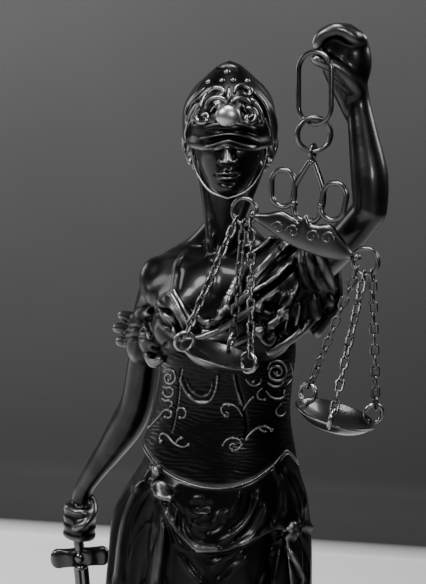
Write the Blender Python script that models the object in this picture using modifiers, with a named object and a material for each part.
"""Lady justice statuette: a blindfolded woman on a round plinth, with a lowered sword and raised scales.

The figure faces -Y and the plinth's underside is at z = 0. The figure's pose, proportions and carving are
shares of its own height: they are written in figure units, of which the figure is 254 high from its soles
to the helmet's top. The plinth, the sword and the scales have sizes of their own, in metres.
"""

import math
from collections import namedtuple

import bmesh
import bpy
from mathutils import Euler, Matrix, Vector

# Driving dimensions in metres
FIGURE_HEIGHT = 0.254
PLINTH_HEIGHT = 0.024
PLINTH_RADIUS = 0.046
PLINTH_EDGE = 0.0025
PLINTH_WAIST = 0.003
GAP = 0.0003

BLADE_LENGTH = 0.092
BLADE_WIDTH = 0.0042
BLADE_THICKNESS = 0.0016
GUARD_LENGTH = 0.0165
GUARD_HEIGHT = 0.0050
GUARD_THICKNESS = 0.0026
GRIP_LENGTH = 0.0132
GRIP_RADIUS = 0.0013

BEAM_LENGTH = 0.0308
BEAM_DROP = 0.0068
BEAM_THICKNESS = 0.0024
END_RING_RADIUS = 0.0036
END_RING_WIRE = 0.0005
CREST_HEIGHT = 0.0180
CREST_WIRE = 0.0006
CREST_SHIFT = 0.0001
LOOP_REACH = 0.0063
LOOP_RISE = 0.0096
LOOP_LENGTH = 0.0098
LOOP_WIDTH = 0.0070
EYE_RADIUS = 0.0020
EYE_WIRE = 0.0005
LINK_WIRE = 0.0006
UPPER_LINK_WIDTH = 0.0096
LOWER_LINK_RADIUS = 0.0044

PAN_RADIUS = 0.0095
PAN_DEPTH = 0.0036
PAN_WALL = 0.0008
EAR_RADIUS = 0.0027
EAR_WIRE = 0.00047
CHAIN_WIRE = 0.00028
CHAIN_LINK_WIDTH = 0.0024
CHAIN_PITCH = 0.0032
CHAIN_TOUCH = 0.0001

FIGURE_UNITS = 254
UNIT = FIGURE_HEIGHT / FIGURE_UNITS
FUSE_GRAIN = 0.75 * UNIT
FIGURE_SHARE_KEPT = 0.0184

METAL = ("bronze_metal", (0.045, 0.045, 0.046, 1), 0.28, 1.0)
PATINA = ("dark_patina", (0.018, 0.018, 0.019, 1), 0.25, 0.6)


def clear_scene():
    for old in list(bpy.data.objects):
        bpy.data.objects.remove(old, do_unlink=True)


def collection(name):
    made = bpy.data.collections.new(name)
    bpy.context.scene.collection.children.link(made)
    return made


def material(name, colour, roughness, metallic):
    made = bpy.data.materials.new(name)
    made.use_nodes = True
    shader = made.node_tree.nodes["Principled BSDF"]
    shader.inputs["Base Color"].default_value = colour
    shader.inputs["Roughness"].default_value = roughness
    shader.inputs["Metallic"].default_value = metallic
    return made


def place(point):
    """A point of the figure, in figure units above the soles, as metres above the plinth's underside."""
    return Vector(point) * UNIT + Vector((0, 0, PLINTH_HEIGHT))


def add(name, mesh, group):
    made = bpy.data.objects.new(name, mesh)
    group.objects.link(made)
    return made


def mesh_from(bm, name):
    bmesh.ops.recalc_face_normals(bm, faces=bm.faces)
    mesh = bpy.data.meshes.new(name)
    bm.to_mesh(mesh)
    bm.free()
    return mesh


def smooth_path(points, steps):
    """Points along a smooth curve through the given ones, each a tuple of any length."""
    ends = [points[0], *points, points[-1]]
    path = []
    for a, b, c, d in zip(ends, ends[1:], ends[2:], ends[3:]):
        for step in range(steps):
            t = step / steps
            weights = (
                (-t + 2 * t**2 - t**3) / 2,
                (2 - 5 * t**2 + 3 * t**3) / 2,
                (t + 4 * t**2 - 3 * t**3) / 2,
                (-(t**2) + t**3) / 2,
            )
            path.append([sum(w * p[i] for w, p in zip(weights, (a, b, c, d))) for i in range(len(b))])
    path.append(list(points[-1]))
    return path


def tube(name, points, group, sides=10, closed=False, start=(0, 0, 0)):
    """A round rod through (x, y, z, radius) points in metres, as a mesh with capped ends."""
    curve = bpy.data.curves.new(name, "CURVE")
    curve.dimensions = "3D"
    curve.bevel_depth = 1
    curve.bevel_resolution = max(0, sides // 2 - 2)
    curve.use_fill_caps = not closed
    spline = curve.splines.new("POLY")
    spline.points.add(len(points) - 1)
    spline.use_cyclic_u = closed
    for target, (x, y, z, radius) in zip(spline.points, points):
        target.co = (x + start[0], y + start[1], z + start[2], 1)
        target.radius = radius
    rod = add(name + "_line", curve, group)
    graph = bpy.context.evaluated_depsgraph_get()
    mesh = bpy.data.meshes.new_from_object(rod.evaluated_get(graph))
    bpy.data.objects.remove(rod)
    bm = bmesh.new()
    bm.from_mesh(mesh)
    bmesh.ops.remove_doubles(bm, verts=bm.verts, dist=1e-7)
    return add(name, mesh_from(bm, name), group)


def limb(name, points, group, sides=12):
    """A tapered rod of the figure through (x, y, z, radius) in figure units, with rounded ends."""
    path = smooth_path(points, 4)
    first, last = Vector(path[0][:3]), Vector(path[-1][:3])
    out_first = (first - Vector(path[1][:3])).normalized()
    out_last = (last - Vector(path[-2][:3])).normalized()
    tip = [[*(first + out_first * path[0][3] * 0.7), path[0][3] * 0.6]]
    toe = [[*(last + out_last * path[-1][3] * 0.7), path[-1][3] * 0.6]]
    line = [[*place(row[:3]), row[3] * UNIT] for row in tip + path + toe]
    return tube(name, line, group, sides)


def ball(name, centre, radii, group, turn=(0, 0, 0), fineness=20):
    """An ellipsoid of the figure, with its centre and radii in figure units and its turn in degrees."""
    bm = bmesh.new()
    bmesh.ops.create_uvsphere(bm, u_segments=fineness, v_segments=fineness * 2 // 3, radius=1)
    angles = Euler([math.radians(a) for a in turn])
    bm.transform(Matrix.LocRotScale(place(centre), angles, Vector(radii) * UNIT))
    return add(name, mesh_from(bm, name), group)


def loft(name, rings, group):
    """A closed skin over rings of points in metres, all with as many points, capped flat at both ends."""
    bm = bmesh.new()
    rows = [[bm.verts.new(point) for point in ring] for ring in rings]
    count = len(rows[0])
    for lower, upper in zip(rows, rows[1:]):
        for i in range(count):
            j = (i + 1) % count
            bm.faces.new((lower[i], lower[j], upper[j], upper[i]))
    bm.faces.new(rows[0])
    bm.faces.new(rows[-1])
    return add(name, mesh_from(bm, name), group)


def between(table, height):
    """The row of a table of sections at a height, eased between the rows above and below it."""
    for low, high in zip(table, table[1:]):
        if height <= high[0]:
            t = max(0.0, (height - low[0]) / (high[0] - low[0]))
            return [a + (b - a) * t for a, b in zip(low, high)]
    return list(table[-1])


def ease(low, high, value):
    """Zero below low, one above high, and a smooth step between them. It falls where low is above high."""
    t = min(1.0, max(0.0, (value - low) / (high - low)))
    return t * t * (3 - 2 * t)


# The gown's sections: height, centre x, centre y, half width, depth in front, depth behind
GOWN = [
    (0, 1, 1, 33, 30, 32),
    (6, 1, 1, 32, 29, 31),
    (20, 1, 1, 30, 26.5, 29),
    (45, 1, 1, 27.6, 24.2, 26),
    (75, 1.2, 0.8, 26.2, 22.2, 23),
    (105, 1.8, 0.5, 25.6, 19.8, 20.5),
    (123, 2.0, 0, 24.9, 18.2, 18.6),
    (140, 1.9, 0, 23.4, 16.6, 17.6),
    (147, 2.4, 0, 21.4, 15.6, 16.6),
    (152, 2.8, 0, 19.6, 14.8, 15.4),
    (157, 2.9, 0, 18.6, 14.0, 13.8),
    (168, 3.1, 0, 16.3, 12.0, 11.4),
    (176, 3.5, 0, 15.8, 12.2, 11.6),
    (184, 2.8, 0, 16.8, 12.6, 12.0),
    (190, 2.2, 0, 16.6, 11.0, 11.4),
    (194, 2.2, 0, 15.4, 9.0, 10.0),
]

# A fold runs down from its top to its foot, where its angle may differ. Angles are in degrees from the
# front, positive to the figure's left, and the rest is in figure units. A negative rise is a furrow.
Fold = namedtuple("Fold", "top_angle foot_angle top foot rise width")
FOLDS = [
    Fold(-52, -58, 158, -10, 2.2, 7),
    Fold(-36, -40, 150, 20, -1.6, 7),
    Fold(-20, -22, 152, -10, 2.0, 8),
    Fold(-4, -6, 132, -10, -1.8, 8),
    Fold(9, 8, 130, -10, 1.8, 7),
    Fold(24, 22, 134, -10, -1.6, 8),
    Fold(40, 38, 136, -10, 2.0, 8),
    Fold(52, 54, 156, 20, -1.4, 6),
    Fold(70, 70, 158, -10, 2.2, 8),
    Fold(90, 92, 150, -10, -1.6, 8),
    Fold(110, 112, 152, -10, 2.0, 9),
    Fold(130, 132, 150, -10, -1.6, 9),
    Fold(150, 150, 152, -10, 2.0, 9),
    Fold(170, 170, 150, -10, -1.5, 9),
    Fold(190, 190, 152, -10, 2.0, 9),
    Fold(212, 212, 150, -10, -1.6, 9),
    Fold(234, 232, 152, -10, 2.0, 9),
    Fold(256, 252, 150, -10, -1.6, 8),
    Fold(276, 274, 154, -10, 2.0, 9),
    Fold(292, 288, 150, -10, -1.4, 7),
]
# The sash hangs in a swag between a knot on each hip: angle, height of its lower edge
SASH_EDGE = [(-60, 147), (-31, 147), (-18, 143), (-8, 138.5), (0, 136), (15, 135.6)]
SASH_EDGE += [(30, 138), (46, 140.6), (70, 140), (180, 130), (300, 147)]
# The corset's lower edge: angle, height
CORSET_EDGE = [(-90, 158), (-49, 155.7), (-33, 153.7), (-15, 151.6), (10, 150.2), (35, 152.9)]
CORSET_EDGE += [(53, 156.2), (71, 159.4), (90, 156), (180, 153), (270, 158)]
PIPING = 0.75
KNEE_RISE = 2.6
SASH_THICKNESS = 1.5
CORSET_THICKNESS = 0.9
GOWN_POINTS = 120
GOWN_STEP = 2.5


def edge_height(edge, angle):
    """Height of an edge line at an angle, where the table runs once round the figure."""
    first = edge[0][0]
    return between(edge, (angle - first) % 360 + first)[1]


def gown_relief(angle, height):
    """How far the cloth stands out from the gown's section at an angle and a height."""
    sash_low = edge_height(SASH_EDGE, angle)
    corset_low = edge_height(CORSET_EDGE, angle)
    below_corset = ease(corset_low + 0.5, corset_low - 0.5, height)
    on_sash = ease(sash_low - 0.5, sash_low + 0.5, height) * below_corset
    out = CORSET_THICKNESS * (1 - below_corset) + SASH_THICKNESS * on_sash
    for fold in FOLDS:
        if height > fold.top or height < fold.foot:
            continue
        along = (fold.top - height) / (fold.top - fold.foot)
        middle = fold.top_angle + (fold.foot_angle - fold.top_angle) * along
        off = (angle - middle + 180) % 360 - 180
        strength = ease(0, 0.12, along) * (1 + 0.5 * along) * (0.6 if on_sash > 0.5 else 1)
        out += fold.rise * strength * below_corset * math.exp(-((off / fold.width) ** 2))
    knee = math.exp(-(((angle + 24) / 22) ** 2) - ((height - 66) / 26) ** 2)
    out += KNEE_RISE * knee
    swag = math.sin((height - sash_low) * 1.1) * ease(65, 45, abs(angle - 18))
    return out + 0.5 * swag * on_sash


def gown_point(angle, height, out=0.0):
    """A point of the gown's surface, in figure units."""
    _, x, y, half_width, front, back = between(GOWN, height)
    sine, cosine = math.sin(math.radians(angle)), math.cos(math.radians(angle))
    depth = front if cosine > 0 else back
    return (x + (half_width + out) * sine, y - (depth + out) * cosine, height)


def edge_roll(name, edge, radius, out, group):
    """A rolled edge that follows an edge line all round the gown."""
    path = []
    for i in range(48):
        angle = i * 7.5
        spot = place(gown_point(angle, edge_height(edge, angle), out))
        path.append([*spot, radius * UNIT])
    return tube(name, path, group, 6, closed=True)


def gown(group):
    rings = []
    steps = round((GOWN[-1][0] + 3) / GOWN_STEP)
    for level in range(steps + 1):
        height = -3 + level * GOWN_STEP
        ring = []
        for i in range(GOWN_POINTS):
            angle = -180 + 360 * i / GOWN_POINTS
            ring.append(place(gown_point(angle, height, gown_relief(angle, height))))
        rings.append(ring)
    return loft("gown", rings, group)


SHOULDER_RIGHT = (-15, 3.5, 197.6)
SHOULDER_LEFT = (20.5, -2.5, 203)
ELBOW_RIGHT = (-25.2, 13, 163.5)
ELBOW_LEFT = (40.8, -23.5, 224.5)
WRIST_RIGHT = (-40.4, 21.5, 133)
WRIST_LEFT = (35.6, -20, 249)
FIST_RIGHT = (-40.3, 22, 125.2)
FIST_LEFT = (33.8, -21, 258)
PINCH = (26.2, -26.4, 259.4)
UPPER_LINK_YAW = -18
LOWER_LINK_YAW = 20
HEAD = (0.8, 0.8, 238)
HEAD_TURN = 12
HEAD_LEAN = -3

# The limbs and the lines of the chest, as points with their radius
LIMBS = {
    "shoulders": [
        (*SHOULDER_RIGHT, 5.7),
        (-8, 1.5, 201, 6.0),
        (2, 0.5, 202.6, 6.0),
        (12, -1, 203.5, 6.2),
        (*SHOULDER_LEFT, 6.2),
    ],
    "neck": [(1.4, 1.8, 198, 6.2), (1.3, 1.4, 207, 5.0), (1.3, 0.8, 216, 4.5), (1.3, 1, 227, 4.9)],
    "slope_right": [(0, 3, 216, 3), (-6, 4, 207.5, 3.6), (-13, 4, 202, 4)],
    "slope_left": [(2, 3, 216, 3), (9, 2, 208.5, 3.6), (17, 0, 206, 4.2)],
    "collar_right": [(-1.6, -5.4, 205.4, 1.2), (-7, -5, 205.6, 1.1), (-14, 0, 204.5, 1.4)],
    "throat_right": [(-0.9, -5.6, 206, 0.9), (-2.4, -3.2, 215, 1.3), (-4.8, 2.5, 226, 1.6)],
    "throat_left": [(1.2, -5.6, 206, 0.9), (4.2, -3.2, 215, 1.3), (7, 2, 226, 1.6)],
    "arm_right": [
        (*SHOULDER_RIGHT, 5.6),
        (-19.3, 7, 188, 4.7),
        (-22.6, 10.4, 176, 4.1),
        (*ELBOW_RIGHT, 3.7),
        (-30.5, 16.8, 152, 3.7),
        (-36.2, 20, 141, 2.8),
        (*WRIST_RIGHT, 2.3),
        (*FIST_RIGHT, 2.8),
    ],
    "arm_left": [(*SHOULDER_LEFT, 6.2), (27, -10, 208.5, 5.0), (34, -18, 215.5, 4.5), (*ELBOW_LEFT, 4.1)],
    "forearm_left": [
        (*ELBOW_LEFT, 4.1),
        (39.9, -22.6, 232, 4.3),
        (37.6, -21.2, 241, 3.5),
        (*WRIST_LEFT, 2.9),
        (*FIST_LEFT, 3.2),
    ],
}


def body(group):
    """The bare chest, shoulders, neck and arms, and the bust under the bodice."""
    made = [limb(name, points, group, 10) for name, points in LIMBS.items()]
    made += [
        ball("ribs", (2.2, 0.5, 190), (17.2, 11.2, 17), group),
        ball("chest", (3, -3, 197), (14, 7.4, 9), group),
        ball("breast_right", (-6.2, -6.5, 190.5), (8.0, 8.4, 8.6), group, (0, 0, -12)),
        ball("breast_left", (13.6, -8, 192.5), (8.4, 8.6, 8.8), group, (0, 0, 14)),
        ball("palm_right", FIST_RIGHT, (3.3, 3.9, 5.0), group),
        ball("palm_left", FIST_LEFT, (4.4, 3.9, 6.4), group),
    ]
    return made


def offset(point, row):
    """A point's neighbour: the row's x, y and z added to it, and the row's radius kept."""
    return (point[0] + row[0], point[1] + row[1], point[2] + row[2], row[3])


# Fingers from the middle of the palm. The right hand is closed round the sword's grip.
RIGHT_FINGER = [(-3.4, 1.4, 0, 1.3), (-3.0, -3.0, 0, 1.35), (1.2, -4.3, -0.2, 1.3), (3.4, -1.6, -0.3, 1.15)]
RIGHT_THUMB = [(2.6, -0.6, 5, 1.5), (3.8, -3.4, 2.4, 1.4), (2.2, -5, -0.2, 1.2)]
LEFT_FINGER = [(2, 3, 4.6, 1.5), (-1.6, 2.6, 6.6, 1.45), (-4.4, 2.2, 3.4, 1.3), (-2.6, 2.4, 0.4, 1.2)]
LEFT_POINTER = [(0.6, -3.2, 5, 1.6), (-3, -4.4, 6.6, 1.6), (-7.2, -5, 3.1, 1.4)]
LEFT_THUMB = [(0.6, -2.6, -4, 2.0), (-3, -3.7, -1.0, 1.8), (-7.3, -5.2, -0.3, 1.4)]


def hands(group):
    """The right hand grips the sword, and the left holds a link between finger and thumb."""
    lines = [RIGHT_THUMB]
    for i in range(4):
        lines.append([(x, y, z + 3.9 - 2.6 * i, r) for x, y, z, r in RIGHT_FINGER])
    made = []
    for i, line in enumerate(lines):
        made.append(limb(f"finger_right_{i}", [offset(FIST_RIGHT, row) for row in line], group, 8))
    lines = [LEFT_THUMB, LEFT_POINTER]
    for i in range(3):
        lines.append([(x, y - 2.3 * i, z, r) for x, y, z, r in LEFT_FINGER])
    for i, line in enumerate(lines):
        made.append(limb(f"finger_left_{i}", [offset(FIST_LEFT, row) for row in line], group, 8))
    return made


def head_point(x, y, z):
    """A point given from the head's centre, with the face towards -Y, as a point of the figure."""
    turn = Matrix.Rotation(math.radians(HEAD_TURN), 3, "Z") @ Matrix.Rotation(math.radians(HEAD_LEAN), 3, "Y")
    return tuple(Vector(HEAD) + turn @ Vector((x, y, z)))


# The helmet and the blindfold from the head's centre: height, half width, half depth
HELMET = [
    (-3.5, 11.3, 12.6),
    (2, 11.6, 13.0),
    (6.2, 10.7, 12.3),
    (9.4, 8.9, 10.6),
    (12.4, 6.2, 7.6),
    (14.4, 4.0, 5.0),
    (15.6, 2.4, 3.0),
    (16.2, 0.9, 1.2),
]
HELMET_BROW = 4
BLINDFOLD = [(-3.6, 10.1, 12.1), (-3.2, 10.4, 12.4), (2.2, 10.4, 12.5), (2.6, 10.1, 12.2)]
HEAD_POINTS = 28

# Forms of the head from its centre: centre, radii
HEAD_BALLS = {
    "skull": ((0, 1.2, 0), (9.2, 11, 11.6)),
    "jaw": ((0, -4.2, -8.2), (6.9, 6.2, 7.0)),
    "chin": ((0, -8.7, -13.2), (2.7, 2.3, 2.4)),
    "lips": ((0, -9.9, -10.1), (2.9, 1.5, 1.5)),
    "ear_right": ((-9.4, 1.6, -5.2), (1.3, 2.3, 3.3)),
    "ear_left": ((9.4, 1.6, -5.2), (1.3, 2.3, 3.3)),
    "hair_knot": ((0, 11.5, -6.5), (6.4, 4.6, 5.6)),
    "blindfold_knot": ((-0.5, 12.8, 0.2), (2.8, 2.0, 2.2)),
}
HEAD_LINES = {
    "nose": [(0, -10.2, 0, 1.1), (0, -11.9, -4.6, 1.2), (0, -12.4, -6.6, 1.5)],
    "blindfold_tail_1": [(0, 13, 0, 1.2), (3.5, 14.5, -6, 1.4), (4, 13.5, -15, 1.2)],
    "blindfold_tail_2": [(-1, 13, 0, 1.2), (-3.8, 15, -5, 1.4), (-4.6, 14, -12, 1.2)],
}
CREST_SCROLL = [(0.8, -11.6, 7.6, 1.0), (4.6, -10.6, 9.6, 1.3), (8.6, -7.6, 6, 1.2), (10.6, -2.4, 0.6, 1.1)]


def head_shell(name, rows, brow, group):
    """A shell of oval rows round the head. In front, rows under the brow are raised to it."""
    rings = []
    for height, half_width, half_depth in rows:
        row = []
        for i in range(HEAD_POINTS):
            turn = 2 * math.pi * i / HEAD_POINTS
            low = math.cos(turn) > 0.35 and height < brow
            depth = half_depth * (0.9 if low else 1)
            level = brow + (height - brow) * 0.06 if low else height
            row.append(place(head_point(half_width * math.sin(turn), 1.2 - depth * math.cos(turn), level)))
        rings.append(row)
    return loft(name, rings, group)


def head(group):
    """The face, ears and hair, the blindfold tied behind, and the helmet with its scrolled crest."""
    made = []
    for name, (centre, radii) in HEAD_BALLS.items():
        made.append(ball(name, head_point(*centre), radii, group, (0, 0, HEAD_TURN)))
    lines = dict(HEAD_LINES, crest_left=CREST_SCROLL)
    lines["crest_right"] = [(-x, y, z, r) for x, y, z, r in CREST_SCROLL]
    for name, line in lines.items():
        made.append(limb(name, [(*head_point(x, y, z), r) for x, y, z, r in line], group, 8))
    made.append(head_shell("helmet", HELMET, HELMET_BROW, group))
    made.append(head_shell("blindfold", BLINDFOLD, -math.inf, group))
    return made


# Folds of the cloth over the left shoulder and bust, the neckline and both sleeves: points with a radius
CLOTH_FOLDS = [
    [(19, -5, 212, 1.3), (16, -11.4, 207, 1.4), (11.4, -15.4, 200.6, 1.5), (5, -15.2, 194, 1.0)],
    [(22.5, -5, 211, 1.5), (19.6, -12.6, 204, 1.8), (13, -17, 197.6, 1.7), (4, -15.6, 190.4, 1.0)],
    [(26, -4.6, 209, 1.6), (24.4, -12, 201.4, 1.9), (18, -17.4, 194.4, 1.8), (8, -16.6, 187.4, 1.1)],
    [(28.6, -3.4, 206, 1.7), (28.4, -9, 198.4, 1.9), (24, -14, 191.4, 1.7), (17.4, -15.4, 186.4, 1.1)],
    [(29.6, -2, 206, 1.7), (30.6, -4, 198.4, 1.9), (27.2, -6.2, 190.8, 1.4)],
    [(28, 2, 205, 1.9), (28.4, 1.6, 197, 1.9), (25, 0.4, 190, 1.4)],
    [(22, 5.4, 206, 1.9), (21.8, 7.8, 198, 1.9), (18.4, 8.6, 190, 1.4)],
    [(17, 7, 206, 1.8), (12.6, 10, 199, 1.9), (7, 10.6, 191, 1.3)],
    [(-14.4, -2.6, 193, 1.1), (-10, -12.4, 190.4, 1.3), (-3, -15.6, 187.8, 1.2), (4, -15.6, 190.4, 1.0)],
    [(-17, -1, 186.4, 1.7), (-21.6, 4, 187.4, 1.5), (-26, 6, 187.6, 1.1)],
    [(-17, -1, 184.4, 1.7), (-22.4, 4.4, 184.4, 1.5), (-27.2, 6.6, 184, 1.1)],
    [(-16.6, -1, 182, 1.7), (-21.6, 4.4, 181, 1.5), (-26.4, 7, 179.8, 1.1)],
    [(-16.4, -4.6, 180.6, 1.1), (-13.6, -7.6, 178.8, 1.2), (-11, -8.6, 180.4, 1.1)],
    [(-17.6, 3.4, 187.4, 5.2), (-19.6, 6, 181.6, 5.6), (-20.4, 8, 179, 4.9)],
]
# The sash's hanging ends: angle, height of the knot, height of the foot
SASH_TAILS = [(-32, 148, 138), (66, 140, 120), (74, 140, 113)]


def drapery(group):
    """The cloth over the left shoulder, both sleeves, the corset's edge, and the sash with its knots."""
    made = [
        ball("sleeve_left", (24, -3, 202.5), (6.4, 7.2, 7.4), group, (0, 0, -20)),
        ball("drape_left", (21.4, 1.6, 199.6), (8.0, 8.0, 10.6), group),
        ball("sleeve_right", (-13.8, -2.2, 184), (5.4, 5.6, 4.9), group, (0, 20, 0)),
        ball("sash_knot_right", gown_point(-26, 149, 1.5), (3.6, 2.6, 2.4), group, (0, 20, -26)),
        ball("sash_knot_left", gown_point(70, 140, 1.5), (3.0, 3.4, 3.0), group),
        edge_roll("corset_piping", CORSET_EDGE, PIPING, 1.5, group),
        edge_roll("sash_hem", SASH_EDGE, PIPING, 1.7, group),
    ]
    folds = list(CLOTH_FOLDS)
    for angle, knot, foot in SASH_TAILS:
        middle = (*gown_point(angle + 2, foot + 9, 1.8), 1.9)
        folds.append([(*gown_point(angle, knot, 1.6), 1.8), middle, (*gown_point(angle + 4, foot, 1.4), 1.3)])
    for i, points in enumerate(folds):
        made.append(limb(f"fold_{i + 1}", points, group, 8))
    return made


def feet(group):
    return [
        limb("foot_right", [(-12, -18, 3.4, 4), (-14, -27, 2.6, 3.6), (-15, -34, 1.4, 2.8)], group),
        limb("foot_left", [(12, -18, 3.4, 4), (15, -25, 2.6, 3.6), (17, -31.5, 1.4, 2.8)], group),
    ]


def plinth(group):
    """The round plinth: a turned profile with a foot and a top moulding round a hollowed waist."""
    radius, height, edge, waist = PLINTH_RADIUS, PLINTH_HEIGHT, PLINTH_EDGE, PLINTH_WAIST
    top_radius = radius - waist
    outline = [(0, height), (top_radius - edge, height)]
    for turn in (0.7, 1.57):
        outline.append((top_radius - edge + edge * math.sin(turn), height - edge + edge * math.cos(turn)))
    top_band, low_band = height * 0.72, height * 0.34
    outline += [(top_radius, top_band), (top_radius - waist, (top_band + low_band) / 2)]
    outline.append((top_radius, low_band))
    outline += [(radius, low_band - edge / 2), (radius, 0), (0, 0)]
    bm = bmesh.new()
    corners = [bm.verts.new((x, 0, z)) for x, z in outline]
    edges = [bm.edges.new(pair) for pair in zip(corners, corners[1:])]
    bmesh.ops.spin(bm, geom=corners + edges, axis=(0, 0, 1), cent=(0, 0, 0), steps=32, angle=2 * math.pi)
    bmesh.ops.remove_doubles(bm, verts=bm.verts, dist=1e-6)
    return add("plinth", mesh_from(bm, "plinth"), group)


def join(name, pieces, group):
    """One object holding the meshes of several, which are removed."""
    bm = bmesh.new()
    for piece in pieces:
        piece.data.transform(piece.matrix_world)
        bm.from_mesh(piece.data)
        bpy.data.objects.remove(piece)
    mesh = bpy.data.meshes.new(name)
    bm.to_mesh(mesh)
    bm.free()
    return add(name, mesh, group)


def cut(target, tool, operation):
    change = target.modifiers.new(tool.name, "BOOLEAN")
    change.operation = operation
    change.object = tool
    tool.hide_render = True
    tool.display_type = "WIRE"


def baked(source, name, group):
    """The object with its modifiers applied, as a new one. The source is removed."""
    graph = bpy.context.evaluated_depsgraph_get()
    mesh = bpy.data.meshes.new_from_object(source.evaluated_get(graph))
    mesh.name = name
    bpy.data.objects.remove(source)
    return add(name, mesh, group)


def figure(group, tools):
    """The woman and her plinth, cast as one."""
    pieces = [gown(tools), *body(tools), *hands(tools), *head(tools), *drapery(tools), *feet(tools)]
    rough = join("figure_rough", pieces, tools)
    fuse = rough.modifiers.new("fuse", "REMESH")
    fuse.mode = "VOXEL"
    fuse.voxel_size = FUSE_GRAIN
    soften = rough.modifiers.new("soften", "SMOOTH")
    soften.factor = 0.5
    soften.iterations = 4
    lighten = rough.modifiers.new("lighten", "DECIMATE")
    lighten.ratio = FIGURE_SHARE_KEPT
    made = baked(rough, "figure", group)
    cut(made, plinth(tools), "UNION")
    return made


def level(yaw):
    """A level direction, at so many degrees from +X."""
    return Vector((math.cos(math.radians(yaw)), math.sin(math.radians(yaw)), 0))


def turned_to(direction, side):
    """A rotation whose Z runs along direction and whose X is as near to side as it can be."""
    z = Vector(direction).normalized()
    y = z.cross(Vector(side)).normalized()
    return Matrix((y.cross(z), y, z)).transposed().to_4x4()


def ring(name, group, matrix, length, width, wire, count=12, sides=4):
    """A long link of round wire in the matrix's XZ plane, with its length along Z."""
    straight, bend = max(0.0, length - width) / 2, width / 2 - wire
    bm = bmesh.new()
    rows = []
    for i in range(count):
        turn = 2 * math.pi * (i + 0.5) / count
        outward = Vector((math.cos(turn), 0, math.sin(turn)))
        middle = outward * bend + Vector((0, 0, math.copysign(straight, outward.z)))
        row = []
        for k in range(sides):
            roll = math.pi + 2 * math.pi * k / sides
            spoke = outward * math.cos(roll) + Vector((0, math.sin(roll), 0))
            row.append(bm.verts.new(middle + wire * spoke))
        rows.append(row)
    for i, row in enumerate(rows):
        following = rows[(i + 1) % count]
        for k in range(sides):
            m = (k + 1) % sides
            bm.faces.new((row[k], row[m], following[m], following[k]))
    bm.transform(matrix)
    return add(name, mesh_from(bm, name), group)


def united(name, pieces, group):
    """The pieces joined into one solid by Boolean unions, in order."""
    first = pieces[0]
    for other in pieces[1:]:
        cut(first, other, "UNION")
    made = baked(first, name, group)
    for other in pieces[1:]:
        bpy.data.objects.remove(other)
    return made


SWORD_DOWN = Vector((0.12, 0.04, -0.99)).normalized()
SWORD_SIDE = (0.97, 0.24, 0)


GUARD_MIDDLE = (-40.4, 22, 114.4)


def sword_frame():
    """The sword's own frame: Z up the grip, X along the guard, origin at the guard's middle."""
    return Matrix.Translation(place(GUARD_MIDDLE)) @ turned_to(-SWORD_DOWN, SWORD_SIDE)


def grip_rod(name, group, grow):
    """The grip, which ends inside the closed hand, made larger by grow for the hollow that holds it."""
    profile = [(0, 0, 0, GRIP_RADIUS + grow), (0, 0, GRIP_LENGTH + grow, GRIP_RADIUS + grow)]
    return tube(name, profile, group, 10)


def plate(name, outline, thickness, group):
    """A flat piece with the given (x, z) outline, standing in the XZ plane."""
    bm = bmesh.new()
    sides = [[bm.verts.new((x, y, z)) for x, z in outline] for y in (-thickness / 2, thickness / 2)]
    for face in sides:
        bm.faces.new(face)
    for i in range(len(outline)):
        j = (i + 1) % len(outline)
        bm.faces.new((sides[0][i], sides[0][j], sides[1][j], sides[1][i]))
    return add(name, mesh_from(bm, name), group)


def sword(group, tools):
    """A plain cross guard with rounded ends, a grip and a ridged blade that narrows to its point."""
    outline = []
    waist, reach = GUARD_HEIGHT * 0.36, GUARD_LENGTH / 2 - GUARD_HEIGHT / 2
    for side in (1, -1):
        outline.append((0, side * waist * 1.3))
        for turn in (100, 60, 20, -20, -60, -100):
            x = reach + GUARD_HEIGHT / 2 * math.cos(math.radians(turn))
            outline.append((side * x, side * GUARD_HEIGHT / 2 * math.sin(math.radians(turn))))
    guard = plate("guard", outline, GUARD_THICKNESS, tools)
    rings = []
    for drop, share in ((0, 1.0), (BLADE_LENGTH * 0.85, 0.78), (BLADE_LENGTH, 0.04)):
        w, t, z = BLADE_WIDTH / 2 * share, BLADE_THICKNESS / 2 * share, -drop
        ridge = w * 0.3
        rings.append([(w, 0, z), (ridge, t, z), (-ridge, t, z), (-w, 0, z), (-ridge, -t, z), (ridge, -t, z)])
    blade = loft("blade", rings, tools)
    made = united("sword", [guard, blade, grip_rod("grip", tools, 0)], group)
    made.data.transform(sword_frame())
    return made


BEAM_MIDDLE = (26.6, -27.5, 217.6)
BEAM_YAW = -11
BEAM_TILT = 2.5


def beam_frame():
    turn = Euler((0, math.radians(BEAM_TILT), math.radians(BEAM_YAW))).to_matrix().to_4x4()
    return Matrix.Translation(place(BEAM_MIDDLE)) @ turn


def beam_end(side):
    """The middle of an end ring in the beam's frame."""
    return Vector((side * BEAM_LENGTH / 2, 0, -side * BEAM_DROP / 2))


def eye_middle():
    return Vector((0, 0, CREST_HEIGHT + EYE_RADIUS - EYE_WIRE))


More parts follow.
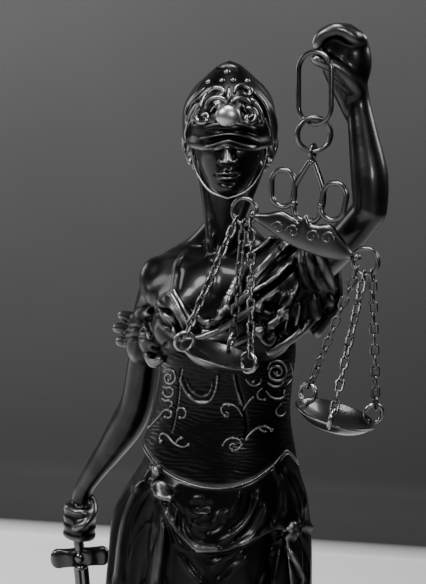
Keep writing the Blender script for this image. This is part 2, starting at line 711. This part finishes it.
def beam(group, tools):
    """The beam: a tapered plate with a ring at each end, under an open crest of three loops and an eye."""
    half, top = BEAM_LENGTH / 2, CREST_HEIGHT
    neck = 1 - (END_RING_RADIUS - END_RING_WIRE) / half
    slope = -BEAM_DROP / BEAM_LENGTH
    upper = [
        (-neck, 0.0007),
        (-0.6, 0.0020),
        (-0.4, 0.0036),
        (-0.2, 0.0034),
        (-0.06, 0.0036),
        (0, 0.0052),
        (0.06, 0.0040),
        (0.2, 0.0040),
        (0.4, 0.0050),
        (0.6, 0.0030),
        (neck, 0.0007),
    ]
    lower = [(neck, -0.0009), (0.55, -0.0022), (0.2, -0.0032)]
    lower += [(-0.2, -0.0032), (-0.55, -0.0020), (-neck, -0.0009)]
    outline = [(half * x, z + slope * half * x) for x, z in upper + lower]
    pieces = [plate("bar", outline, BEAM_THICKNESS, tools)]
    for side in (-1, 1):
        round_ring = 2 * END_RING_RADIUS
        at = Matrix.Translation(beam_end(side))
        pieces.append(ring(f"end_ring_{side}", tools, at, round_ring, round_ring, END_RING_WIRE, 12, 4))
        at = Matrix.Translation((side * LOOP_REACH, -CREST_SHIFT, LOOP_RISE - side * 0.0006))
        lean = at @ Matrix.Rotation(math.radians(side * 6), 4, "Y")
        pieces.append(ring(f"side_loop_{side}", tools, lean, LOOP_LENGTH, LOOP_WIDTH, CREST_WIRE))
    half_ogive = [(0, 0.97), (0.0016, 0.84), (0.0034, 0.62), (0.0036, 0.42), (0.0022, 0.22)]
    ogive = half_ogive + [(-x, share) for x, share in reversed(half_ogive[1:])]
    ogive = [(x, CREST_SHIFT, top * share, CREST_WIRE * 1.15) for x, share in ogive]
    pieces.append(tube("middle_loop", ogive, tools, 4, closed=True))
    eye = Matrix.Translation(eye_middle()) @ Matrix.Rotation(math.radians(90), 4, "Z")
    pieces.append(ring("eye", tools, eye, 2 * EYE_RADIUS, 2 * EYE_RADIUS, EYE_WIRE, 8, 4))
    made = united("scale_beam", pieces, group)
    made.data.transform(beam_frame())
    return made


def lower_link_middle():
    hang = eye_middle() + Vector((0, 0, EYE_RADIUS - EYE_WIRE))
    return beam_frame() @ hang + Vector((0, 0, LOWER_LINK_RADIUS - 2 * LINK_WIRE - EYE_WIRE - GAP))


def upper_link(name, group, grow=0.0):
    """The upper link: its top wire is between finger and thumb, and its lower end in the lower link."""
    top = place(PINCH)
    bottom = lower_link_middle() + Vector((0, 0, LOWER_LINK_RADIUS - 3 * LINK_WIRE - GAP))
    matrix = Matrix.Translation((top + bottom) / 2) @ turned_to(top - bottom, level(UPPER_LINK_YAW))
    length = (top - bottom).length + 2 * LINK_WIRE
    return ring(name, group, matrix, length + 2 * grow, UPPER_LINK_WIDTH + 2 * grow, LINK_WIRE + grow, 14)


def links(group):
    """The two loose links that hang the beam from the left hand."""
    lower = Matrix.Translation(lower_link_middle()) @ turned_to((0, 0, 1), level(LOWER_LINK_YAW))
    size = 2 * LOWER_LINK_RADIUS
    return [upper_link("upper_link", group), ring("lower_link", group, lower, size, size, LINK_WIRE, 14)]


# Each pan: name, beam end, centre in figure units, tilt down to +X and turn of its first ear in degrees
Pan = namedtuple("Pan", "name side centre tilt first_ear")
PANS = [
    Pan("left_pan", -1, (8.8, -29.5, 188.4), 12, -31),
    Pan("right_pan", 1, (37.6, -33, 178.2), 12, 32),
]


def pan_frame(pan):
    turn = Euler((0, math.radians(pan.tilt), 0)).to_matrix().to_4x4()
    return Matrix.Translation(place(pan.centre)) @ turn


def ear_angles(pan):
    return [math.radians(pan.first_ear + 120 * i) for i in range(3)]


def dish(pan, group, tools):
    """A shallow round pan with three rings standing on its rim for the chains."""
    rim = PAN_RADIUS
    outline = [(0, -PAN_DEPTH), (rim * 0.55, -PAN_DEPTH * 0.82), (rim * 0.88, -PAN_DEPTH * 0.36), (rim, 0)]
    outline += [(rim - PAN_WALL, 0), (rim * 0.86 - PAN_WALL, -PAN_DEPTH * 0.30)]
    outline += [(rim * 0.5, -PAN_DEPTH * 0.82 + PAN_WALL), (0, -PAN_DEPTH + PAN_WALL)]
    bm = bmesh.new()
    corners = [bm.verts.new((x, 0, z)) for x, z in outline]
    edges = [bm.edges.new(pair) for pair in zip(corners, corners[1:])]
    bmesh.ops.spin(bm, geom=corners + edges, axis=(0, 0, 1), cent=(0, 0, 0), steps=16, angle=2 * math.pi)
    bmesh.ops.remove_doubles(bm, verts=bm.verts, dist=1e-6)
    pieces = [add(pan.name + "_bowl", mesh_from(bm, "bowl"), tools)]
    for i, angle in enumerate(ear_angles(pan)):
        out = Matrix.Translation((rim - PAN_WALL / 2, 0, EAR_RADIUS * 0.55))
        spot = Matrix.Rotation(angle, 4, "Z") @ out
        pieces.append(ring(f"{pan.name}_ear_{i}", tools, spot, 2 * EAR_RADIUS, 2 * EAR_RADIUS, EAR_WIRE, 8))
    made = united(pan.name, pieces, group)
    made.data.transform(pan_frame(pan))
    return made


def chain(pan, number, group, tools):
    """A chain of long links from the beam's end ring to one ear of a pan, each link resting in the next.

    Each link is turned about a quarter from the last, so that both end links cross what they hang on.
    """
    angle = ear_angles(pan)[number]
    order = sorted(range(3), key=lambda i: math.cos(ear_angles(pan)[i])).index(number)
    spread = math.radians((-38, 0, 38)[order])
    seat = END_RING_RADIUS - END_RING_WIRE
    hook = beam_end(pan.side) + seat * Vector((math.sin(spread), 0, -math.cos(spread)))
    ear = Vector((PAN_RADIUS - PAN_WALL / 2, 0, EAR_RADIUS * 1.55 - EAR_WIRE))
    top = beam_frame() @ hook
    foot = pan_frame(pan) @ (Matrix.Rotation(angle, 4, "Z") @ ear)
    down = (foot - top).normalized()
    start = top - down * (END_RING_WIRE + GAP + CHAIN_WIRE)
    length = (foot - start).length + EAR_WIRE + GAP + CHAIN_WIRE
    count = round(length / CHAIN_PITCH)
    rest = 2 * CHAIN_WIRE - CHAIN_TOUCH
    link_length = (length + (count - 1) * rest) / count
    across = down.cross(beam_frame().to_3x3() @ Vector((0, 1, 0))).normalized()
    first_side = across.cross(down)
    last_side = pan_frame(pan).to_3x3() @ (Matrix.Rotation(angle, 3, "Z") @ Vector((0, 1, 0)))
    quarter = math.pi / 2
    last_turn = math.atan2(last_side.dot(across), last_side.dot(first_side))
    spare = (last_turn - quarter * (count - 1) + quarter) % math.pi - quarter
    pieces = []
    for i in range(count):
        centre = start + down * (link_length / 2 + i * (link_length - rest))
        turn = i * (quarter + spare / (count - 1))
        side = first_side * math.cos(turn) + across * math.sin(turn)
        matrix = Matrix.Translation(centre) @ turned_to(down, side)
        outer = link_length + 2 * CHAIN_WIRE
        pieces.append(ring(f"link_{i}", tools, matrix, outer, CHAIN_LINK_WIDTH, CHAIN_WIRE, 6, 3))
    return united(f"{pan.name}_chain_{number + 1}", pieces, group)


def main():
    clear_scene()
    parts = collection("lady_justice")
    tools = collection("cutters")
    patina = material(*PATINA)
    metal = material(*METAL)
    made = figure(parts, tools)
    made.data.materials.append(patina)
    others = [sword(parts, tools), beam(parts, tools), *links(parts)]
    for pan in PANS:
        others.append(dish(pan, parts, tools))
        others += [chain(pan, number, parts, tools) for number in range(3)]
    for piece in others:
        piece.data.materials.append(metal)
    cut(made, palm_hollow(tools), "DIFFERENCE")
    cut(made, finger_hollow(tools), "DIFFERENCE")


def palm_hollow(tools):
    """The hollow that the sword's grip fills, with its clearance."""
    made = grip_rod("palm_hollow", tools, GAP)
    made.data.transform(sword_frame())
    return made


def finger_hollow(tools):
    """The hollow round the upper link between finger and thumb, with its clearance."""
    return upper_link("finger_hollow", tools, GAP)


main()
